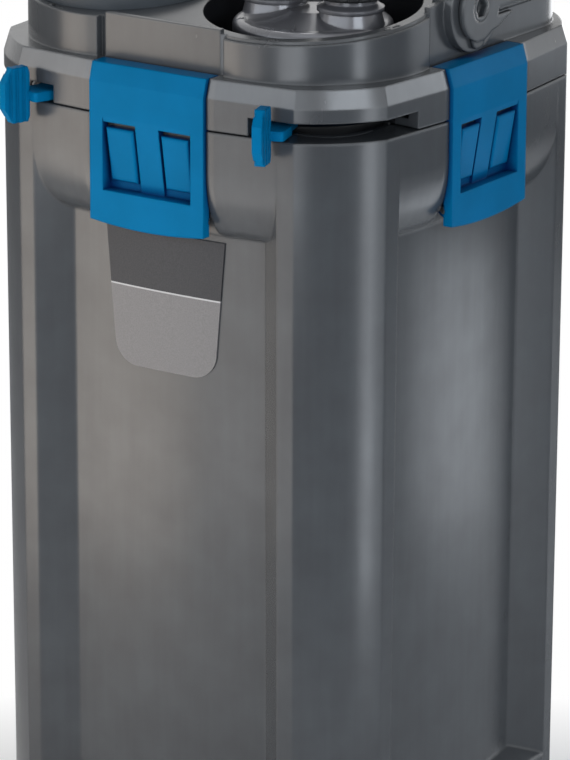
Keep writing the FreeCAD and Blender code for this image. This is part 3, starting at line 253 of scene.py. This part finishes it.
# %% [markdown]
# Most of the filter is ABS, moulded in a tool with a fine spark-eroded texture. Up
# close that gives a slightly mottled satin: the grey wanders a little, faint upright
# streaks follow the flow of the melt, and the gloss changes with both. The real grain
# is about 0.1 mm wide, too fine to show, so it is drawn 0.9 mm wide and very shallow.
# The Bevel node rounds the look of each edge by the small radius that every mould has.
# Noise stays mostly between 0.3 and 0.7, so the two colours are set near these values.

# %% Moulded plastic
CLOUD = 26 * MM
STREAK = 5 * MM
STREAK_STRETCH = (1, 1, 0.06)
STREAK_SHARE = 0.3
DARK_AT = 0.32
LIGHT_AT = 0.68
DULL_AT = 0.3
GLOSSY_AT = 0.7
GLOSS_SPREAD = 0.03
GRAIN = 0.9 * MM
GRAIN_STRENGTH = 0.35
PLASTIC = {"IOR": 1.53, "Specular IOR Level": 0.3}


def principled(name, settings):
    """New material with one principled shader; gives the material, its nodes and the shader."""
    material = bpy.data.materials.new(name)
    material.use_nodes = True
    tree = material.node_tree
    tree.nodes.clear()
    shader = add(tree, "ShaderNodeBsdfPrincipled", inputs=settings)
    add(tree, "ShaderNodeOutputMaterial", inputs={"Surface": shader.outputs[0]})
    return material, tree, shader


def surface_noise(tree, size, stretch=(1, 1, 1), detail=3.0):
    """Noise with features of about the given size in metres, drawn out along an axis."""
    place = add(tree, "ShaderNodeTexCoord").outputs["Object"]
    drawn = add(tree, "ShaderNodeMapping", inputs={"Vector": place, "Scale": stretch}).outputs[0]
    noise = add(tree, "ShaderNodeTexNoise", inputs={"Vector": drawn, "Scale": 1 / size, "Detail": detail})
    return noise.outputs["Fac"]


def moulded(name, dark, light, rough, relief=0.02 * MM, edge=1.4 * MM, streaks=True, settings=None):
    """Moulded plastic: mottled colour, uneven gloss, a fine grain and rounded edges."""
    material, tree, shader = principled(name, {**PLASTIC, **(settings or {})})
    cloud = surface_noise(tree, CLOUD)
    if streaks:
        flow = surface_noise(tree, STREAK, STREAK_STRETCH, 4.0)
        mixed = add(tree, "ShaderNodeMix", {"data_type": "FLOAT"},
                    {"Factor": STREAK_SHARE, "A": cloud, "B": flow})
        cloud = mixed.outputs["Result"]
    colour = add(tree, "ShaderNodeValToRGB", inputs={"Fac": cloud},
                 stops=[(DARK_AT, dark), (LIGHT_AT, light)])
    tree.links.new(colour.outputs["Color"], shader.inputs["Base Color"])
    gloss = add(tree, "ShaderNodeMapRange",
                inputs={"Value": cloud, "From Min": DULL_AT, "From Max": GLOSSY_AT,
                        "To Min": rough + GLOSS_SPREAD, "To Max": rough - GLOSS_SPREAD})
    tree.links.new(gloss.outputs[0], shader.inputs["Roughness"])
    soft = add(tree, "ShaderNodeBevel", {"samples": 4}, {"Radius": edge})
    grains = surface_noise(tree, GRAIN, detail=2.0)
    bumped = add(tree, "ShaderNodeBump", inputs={"Height": grains, "Distance": relief,
                                                 "Strength": GRAIN_STRENGTH, "Normal": soft.outputs[0]})
    tree.links.new(bumped.outputs[0], shader.inputs["Normal"])
    return material


print("mottle", CLOUD / MM, "mm, streaks", STREAK / MM, "mm, grain", round(GRAIN / MM, 1), "mm")

# %% [markdown]
# Each plastic of the filter comes from that one function. Only what it is given
# differs, such as the two colours, the roughness, the depth of the grain and the radius
# of the edges, as these do between real mouldings from different tools.

# %% Moulded finishes
finish = {}
# Textured ABS: a satin that takes broad, soft reflections of the lamps.
GREY_SPECULAR = {"Specular IOR Level": 0.62}
finish["grey_abs"] = moulded("satin_grey_abs", "#3D3F42", "#474A4D", 0.24, relief=0.03 * MM, edge=2.4 * MM,
                             settings=GREY_SPECULAR)
# Acetal coloured in the mass: waxy, nearly without reflections, so its blue stays deep.
BLUE = ("#006A99", "#0070A3", 0.36)
BLUE_SPECULAR = {"Specular IOR Level": 0.03}
finish["blue_acetal"] = moulded("satin_blue_acetal", *BLUE, streaks=False, settings=BLUE_SPECULAR)
# Black ABS of the hose fittings and the pump: an even, dull black.
finish["black_abs"] = moulded("satin_black_abs", "#1B1C1E", "#232426", 0.38)
# Polypropylene in its natural colour: pale, a little waxy.
finish["light_polypropylene"] = moulded("satin_pale_polypropylene", "#A9AEB2", "#B6BABD", 0.5)
# ABS from a finer, matt tool: the deck and the cap stay even and show no streaks.
finish["fine_abs"] = moulded("fine_grained_grey_abs", "#464B50", "#4E5358", 0.42, streaks=False,
                             settings={"Specular IOR Level": 0.2})
# Moulded rubber: matt black without any shine.
finish["rubber"] = moulded("matt_black_rubber", "#121212", "#1A1A1A", 0.75, streaks=False)
# Smoke grey plastic with a pearl pigment, polished: a clear shine over a soft one.
finish["dark_lacquer"] = moulded("pearl_smoke_grey_plastic", "#66666A", "#707074", 0.3, relief=0.01 * MM,
                                 streaks=False, settings={"Metallic": 0.3, "Coat Weight": 0.6,
                                                          "Coat Roughness": 0.12})
print("moulded finishes", len(finish))

# %% [markdown]
# The blue parts are deep: finger recesses, ribs and sides that lie against the casing.
# Little light gets into these corners and what gets there turns a deep violet blue, which gives the clips
# their depth in the photo. This shade is painted into the base colour: an occlusion node finds the corners
# within a few millimetres and blends in the darker painted shade there.

# %% Painted violet shade in the corners of the blue parts
CORNER_REACH = 7.0 * MM
SHADE_FROM = 0.9
SHADE_FULL = 0.35


def recolour(material, mask, code):
    """Lays a second colour over a moulded finish where the mask is 1."""
    tree = material.node_tree
    shader = next(node for node in tree.nodes if node.type == "BSDF_PRINCIPLED")
    first = shader.inputs["Base Color"].links[0].from_socket
    # The inputs 6 and 7 and the output 2 are the colour sockets of the Mix node.
    both = add(tree, "ShaderNodeMix", {"data_type": "RGBA"}, {0: mask, 6: first, 7: linear(code)})
    tree.links.new(both.outputs[2], shader.inputs["Base Color"])


def paint_shade_in_corners(material, code):
    tree = material.node_tree
    freedom = add(tree, "ShaderNodeAmbientOcclusion", {"samples": 8}, {"Distance": CORNER_REACH})
    depth = add(tree, "ShaderNodeMapRange",
                inputs={"Value": freedom.outputs["AO"], "From Min": SHADE_FROM, "From Max": SHADE_FULL})
    recolour(material, depth.outputs[0], code)


# Painted shade: the corners of the clips get a darker violet blue in their base colour.
paint_shade_in_corners(finish["blue_acetal"], "#0A2F66")
print("corners shaded within", CORNER_REACH / MM, "mm")

# %% [markdown]
# Inside the coupling's well the casing is coloured nearly black. A mask by distance from the tower's axis
# gives the wall of the bore that colour, and leaves the rim grey. The ring that carries each lever sits in
# the dark of its slot, and that shade is painted on it: the same mask tells it from the blue arm and colours
# it nearly black.

# %% Dark bore and painted shade on the lever rings
# A mask reaches a little past the surface that it colours.
MASK_MARGIN = 0.3 * MM
WELL = 55.3 * MM
LEVER_RING = 46.6 * MM


def dark_bore(material, x, y, radius, code):
    """Gives all that lies within a radius of an upright axis a second colour."""
    tree = material.node_tree
    place = add(tree, "ShaderNodeTexCoord").outputs["Object"]
    flat = add(tree, "ShaderNodeVectorMath", {"operation": "MULTIPLY"}, {0: place, 1: (1, 1, 0)})
    away = add(tree, "ShaderNodeVectorMath", {"operation": "DISTANCE"},
               {0: flat.outputs["Vector"], 1: (x, y, 0)})
    inside = add(tree, "ShaderNodeMath", {"operation": "LESS_THAN"},
                 {0: away.outputs["Value"], 1: radius + MASK_MARGIN})
    recolour(material, inside.outputs[0], code)


finish["casing_abs"] = moulded("satin_grey_abs_dark_bore", "#404245", "#474A4D", 0.25,
                               settings=GREY_SPECULAR)
dark_bore(finish["casing_abs"], TOWER, -TOWER, WELL, "#232427")
# Painted shade: the ring of each lever is coloured nearly black where it lies in its slot.
for key, side in (("coupling_lever", 1), ("prefilter_lever", -1)):
    finish[key] = moulded("blue_acetal_painted_ring_shade_" + key, *BLUE, streaks=False, settings=BLUE_SPECULAR)
    dark_bore(finish[key], side * TOWER, -TOWER, LEVER_RING, "#0B1420")
print("well", round(WELL / MM, 1), "mm and lever ring", round(LEVER_RING / MM, 1), "mm in radius")

# %% [markdown]
# The metal, ceramic and magnet parts sit inside the pump. They are finished like the
# real ones all the same, because the parts can be lifted out. Turning leaves fine lines
# round the axis. They are about 0.1 mm apart on the real part and drawn 0.8 mm wide,
# because finer ones wouldn't show.

# %% Pump materials
LINE = 0.8 * MM
LINE_STRETCH = (0.2, 0.2, 1.0)
LINE_DARK_AT = 0.35
LINE_LIGHT_AT = 0.65
LINE_GLOSS = 0.05
METAL_EDGE = 0.3 * MM


def turned_metal(name, dark, light, rough):
    """Turned metal: fine lines around the upright axis in colour and gloss."""
    material, tree, shader = principled(name, {"Metallic": 1.0})
    lines = surface_noise(tree, LINE, LINE_STRETCH)
    colour = add(tree, "ShaderNodeValToRGB", inputs={"Fac": lines},
                 stops=[(LINE_DARK_AT, dark), (LINE_LIGHT_AT, light)])
    tree.links.new(colour.outputs["Color"], shader.inputs["Base Color"])
    gloss = add(tree, "ShaderNodeMapRange",
                inputs={"Value": lines, "To Min": rough - LINE_GLOSS, "To Max": rough + LINE_GLOSS})
    tree.links.new(gloss.outputs[0], shader.inputs["Roughness"])
    soft = add(tree, "ShaderNodeBevel", {"samples": 4}, {"Radius": METAL_EDGE})
    tree.links.new(soft.outputs[0], shader.inputs["Normal"])
    return material


# Stainless steel turned on a lathe: bright, with lines that spread its reflections.
finish["steel"] = turned_metal("turned_stainless_steel", "#A9ABAD", "#C4C6C8", 0.28)
# A stack of punched steel sheets: dull and dark, and the lines stand for the sheets.
finish["core"] = turned_metal("laminated_core_steel", "#55575A", "#77797C", 0.42)
# Copper wire under clear enamel: red brown, and the lines stand for the turns.
finish["copper"] = turned_metal("enamelled_copper_wire", "#8C4A26", "#B5683A", 0.3)
# Sintered ferrite: nearly black and dull, like a stone.
finish["magnet"] = moulded("sintered_ferrite_magnet", "#222326", "#2E2F32", 0.55, streaks=False)
# Ground alumina: off-white with a soft, even shine.
finish["ceramic"] = moulded("ground_alumina_ceramic", "#E3E0D6", "#EDEBE4", 0.25, streaks=False)
print("finishes so far", len(finish))

# %% [markdown]
# Filter foam is polyurethane blown into open cells. A Voronoi pattern gives round cells of the real width;
# they roughen the surface, and where they go deep a painted shade makes them darker.

# %% Filter foam
CELL = 2 * MM
CELL_DEPTH = 0.6 * MM
CELL_DARK_AT = 0.1
CELL_LIGHT_AT = 0.6


def open_foam():
    material, tree, shader = principled("open_cell_filter_foam", {"Roughness": 0.95, "IOR": 1.45})
    place = add(tree, "ShaderNodeTexCoord").outputs["Object"]
    voronoi = add(tree, "ShaderNodeTexVoronoi", inputs={"Vector": place, "Scale": 1 / CELL})
    cells = voronoi.outputs["Distance"]
    # Painted shade: the colour is darkest at the bottom of each cell.
    colour = add(tree, "ShaderNodeValToRGB", inputs={"Fac": cells},
                 stops=[(CELL_DARK_AT, "#16283F"), (CELL_LIGHT_AT, "#2F5E96")])
    tree.links.new(colour.outputs["Color"], shader.inputs["Base Color"])
    bumped = add(tree, "ShaderNodeBump", inputs={"Height": cells, "Distance": CELL_DEPTH})
    tree.links.new(bumped.outputs[0], shader.inputs["Normal"])
    return material


finish["foam"] = open_foam()
print("foam cells", CELL / MM, "mm wide")

# %% [markdown]
# The badge is a thin printed film in the shape of a shield on the front panel. Its ink
# holds metal flakes, which give both greys a fine speckle. It is left blank: a dark
# field over a pale one, with a straight border between them and a fine pale line.
# Height over the floor, read from the object's own coordinates, picks the field.

# %% Badge
BADGE_BORDER = JOINT - 91.0 * MM
BADGE_LINE = 0.8 * MM
FLAKE = 0.7 * MM
FLAKE_DARK_AT = 0.35
FLAKE_LIGHT_AT = 0.65


def printed_badge():
    material, tree, shader = principled("printed_badge_film",
                                        {"Roughness": 0.4, "IOR": 1.5, "Specular IOR Level": 0.12})
    place = add(tree, "ShaderNodeTexCoord").outputs["Object"]
    height = add(tree, "ShaderNodeSeparateXYZ", inputs={"Vector": place}).outputs["Z"]
    flakes = surface_noise(tree, FLAKE)
    dark = add(tree, "ShaderNodeValToRGB", inputs={"Fac": flakes},
               stops=[(FLAKE_DARK_AT, "#454547"), (FLAKE_LIGHT_AT, "#4C4C4E")])
    pale = add(tree, "ShaderNodeValToRGB", inputs={"Fac": flakes},
               stops=[(FLAKE_DARK_AT, "#7E7C7C"), (FLAKE_LIGHT_AT, "#888686")])
    upper = add(tree, "ShaderNodeMath", {"operation": "GREATER_THAN"}, {0: height, 1: BADGE_BORDER})
    above = add(tree, "ShaderNodeMath", {"operation": "GREATER_THAN"},
                {0: height, 1: BADGE_BORDER - BADGE_LINE})
    line = add(tree, "ShaderNodeMath", {"operation": "SUBTRACT"}, {0: above.outputs[0], 1: upper.outputs[0]})
    fields = add(tree, "ShaderNodeMix", {"data_type": "RGBA"},
                 {0: upper.outputs[0], 6: pale.outputs["Color"], 7: dark.outputs["Color"]})
    lined = add(tree, "ShaderNodeMix", {"data_type": "RGBA"},
                {0: line.outputs[0], 6: fields.outputs[2], 7: linear("#C4C4C4")})
    tree.links.new(lined.outputs[2], shader.inputs["Base Color"])
    return material


finish["badge"] = printed_badge()
print("badge border", round(BADGE_BORDER / MM, 1), "mm over the floor")

# %% [markdown]
# One table says which part is made of what. The frame's meshes stay as they are; a part
# gets its finish through the material slots of its object.

# %% Which part has which finish
made_of = {
    "casing_abs": ["head_casing"],
    "grey_abs": ["canister", "handle", "handle_pivot_bolts"],
    "fine_abs": ["head_deck", "prefilter_cap"],
    "blue_acetal": ["clip_front", "clip_right", "clip_back", "clip_left"],
    "coupling_lever": ["coupling_lock_lever"],
    "prefilter_lever": ["prefilter_lock_lever"],
    "dark_lacquer": ["coupling_dome"],
    "black_abs": ["cable_gland", "coupling_valve_disc", "motor_housing", "impeller_cover", "hose_nut_in",
                  "hose_nut_out", "hose_tail_in", "hose_tail_out", "outlet_duct", "riser_tube",
                  "prefilter_cage"],
    "rubber": ["rubber_feet", "head_seal", "coupling_o_ring"],
    "steel": ["clip_pins", "deck_screws"],
    "core": ["stator_core"],
    "copper": ["stator_coil"],
    "ceramic": ["impeller_shaft", "shaft_bushes"],
    "magnet": ["rotor"],
    "light_polypropylene": ["basket_1", "basket_2", "basket_3", "basket_4", "basket_bails"],
    "foam": ["media_1", "media_2", "media_3", "media_4", "prefilter_sponge"],
    "badge": ["label_plate"],
}

undressed = set(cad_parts)
for key, nodes in made_of.items():
    for node in nodes:
        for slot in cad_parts[node].material_slots:
            slot.material = finish[key]
            undressed.discard(node)
print("parts without a finish", sorted(undressed))

# %% [markdown]
# Small raised signs tell the user which way the levers go. They are moulded with the
# rim on the real object. Here each is first drawn flat, with x along the rim and y
# towards the tower's axis: a cube with bevelled corners and a half ring spun over it
# make a padlock, a bar and a triangle an arrow. While a sign is flat, its underside
# lies at -0.5 and its top at 0.5.

# %% Drawings of the signs
LOCK_SIZE = (3.2 * MM, 2.3 * MM)
LOCK_DROP = 0.7 * MM
LOCK_CORNER = 0.5 * MM
SHACKLE_INNER = 0.75 * MM
SHACKLE_WIRE = 0.55 * MM
SHACKLE_FOOT = 0.4 * MM
SHACKLE_SHIFT = 1.5 * MM
BAR_WIDTH = 0.6 * MM
HEAD_HALF = 1.2 * MM
HEAD_LENGTH = 2.0 * MM
# Half the height of a flat drawing. It goes when the sign is laid on its surface.
HALF = 0.5


def draw_padlock(mesh, closed):
    """A padlock about 3.5 mm high; the shackle of an open one is set aside."""
    bmesh.ops.create_cube(mesh, size=1.0, matrix=Matrix.Translation((0, -LOCK_DROP, 0))
                          @ Matrix.Diagonal((*LOCK_SIZE, 1.0, 1.0)))
    upright = [e for e in mesh.edges if abs(e.verts[0].co.z - e.verts[1].co.z) > HALF]
    bmesh.ops.bevel(mesh, geom=upright, offset=LOCK_CORNER, segments=3, profile=0.5, affect="EDGES",
                    material=-1)
    shift = 0 if closed else SHACKLE_SHIFT
    profile = [mesh.verts.new((shift + SHACKLE_INNER + out * SHACKLE_WIRE, SHACKLE_FOOT, high - HALF))
               for out, high in ((0, 0), (1, 0), (1, 1), (0, 1))]
    face = mesh.faces.new(profile)
    bmesh.ops.spin(mesh, geom=[face] + list(face.edges) + profile, cent=(shift, SHACKLE_FOOT, 0),
                   axis=(0, 0, 1), angle=math.pi, steps=14)


def draw_arrow(mesh, start, length):
    """Straight bar with a pointed end; a negative length points it the other way."""
    way = math.copysign(1, length)
    bar = bmesh.ops.create_grid(mesh, x_segments=12, y_segments=1, size=0.5,
                                matrix=Matrix.Translation((start + 0.5 * length, 0, -HALF))
                                @ Matrix.Diagonal((abs(length), BAR_WIDTH, 1.0, 1.0)))["verts"]
    tip = start + length
    head = [mesh.verts.new((x, y, -HALF)) for x, y in ((tip, HEAD_HALF), (tip, -HEAD_HALF),
                                                       (tip + way * HEAD_LENGTH, 0))]
    mesh.faces.new(head if way < 0 else head[::-1])
    flat = [f for f in mesh.faces if all(v in bar or v in head for v in f.verts)]
    grown = bmesh.ops.extrude_face_region(mesh, geom=flat)["geom"]
    bmesh.ops.translate(mesh, verts=[g for g in grown if isinstance(g, bmesh.types.BMVert)], vec=(0, 0, 1))


print("lock body", [round(v / MM, 1) for v in LOCK_SIZE], "mm")

# %% [markdown]
# A drawing becomes a piece in two steps. It is bent round its tower, then every point
# drops onto the casing. A ray from above finds the surface under the point, so a sign
# follows the slope of the rim. Its top ends up a third of a millimetre over the surface
# and its underside a little below, so no light shows under it.

# %% Signs on the rims
SINK = 0.3 * MM
RAY_START = 1.0
RIM_RISE = 0.35 * MM
ARROW_START = 4.0 * MM
ARROW_LENGTH = 3.4 * MM
COUPLING_RIM = 58.7 * MM
PREFILTER_RIM = 60.0 * MM


def surface_of(node):
    """The surface of a part, ready for rays."""
    mesh = bmesh.new()
    mesh.from_mesh(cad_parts[node].data)
    surface = BVHTree.FromBMesh(mesh)
    mesh.free()
    return surface


def settle(mesh, name, surface, rise, material):
    """Drops a flat drawing, already in x and y, onto a surface and makes it a piece."""
    for vert in mesh.verts:
        hit = surface.ray_cast(Vector((vert.co.x, vert.co.y, RAY_START)), Vector((0, 0, -1)))[0]
        vert.co.z = hit.z + (rise if vert.co.z > 0 else -SINK)
    bmesh.ops.recalc_face_normals(mesh, faces=mesh.faces)
    data = bpy.data.meshes.new(name)
    mesh.to_mesh(data)
    mesh.free()
    piece = bpy.data.objects.new(name, data)
    bpy.context.collection.objects.link(piece)
    data.materials.append(material)
    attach(piece, "filter")


def rim_sign(name, side, rim, angle, closed, arrow_way):
    """A padlock and an arrow on a tower's rim, at an angle in degrees round its axis."""
    mesh = bmesh.new()
    draw_padlock(mesh, closed)
    draw_arrow(mesh, arrow_way * ARROW_START, arrow_way * ARROW_LENGTH)
    for vert in mesh.verts:
        radius = rim - vert.co.y
        turn = math.radians(angle) + vert.co.x / rim
        vert.co.x = side * TOWER + radius * math.cos(turn)
        vert.co.y = radius * math.sin(turn) - TOWER
    settle(mesh, name, casing, RIM_RISE, finish["grey_abs"])


casing = surface_of("head_casing")
rim_sign("sign_coupling_closed", 1, COUPLING_RIM, angle=284.6, closed=True, arrow_way=-1)
rim_sign("sign_coupling_open", 1, COUPLING_RIM, angle=342.0, closed=False, arrow_way=1)
rim_sign("sign_prefilter_closed", -1, PREFILTER_RIM, angle=249.0, closed=True, arrow_way=1)

# %% [markdown]
# Two arrows on the coupling show which way the water runs, one beside each hose. They
# use the same arrow, turned to its place instead of bent, and lie on the glossy dome.

# %% Flow arrows on the coupling
DOME_RISE = 0.3 * MM
FLOW_START = 3.5 * MM
FLOW_LENGTH = 5.0 * MM


def flow_sign(name, x, y, turn):
    """An arrow at a place on the dome, turned by an angle in degrees."""
    mesh = bmesh.new()
    draw_arrow(mesh, -FLOW_START, FLOW_LENGTH)
    spun = Matrix.Translation((x, y, 0)) @ Matrix.Rotation(math.radians(turn), 4, "Z")
    for vert in mesh.verts:
        vert.co = spun @ vert.co
    settle(mesh, name, dome, DOME_RISE, finish["dark_lacquer"])


dome = surface_of("coupling_dome")
flow_sign("sign_flow_out", x=59 * MM, y=-80 * MM, turn=-60)
flow_sign("sign_flow_in", x=22 * MM, y=-76 * MM, turn=60)
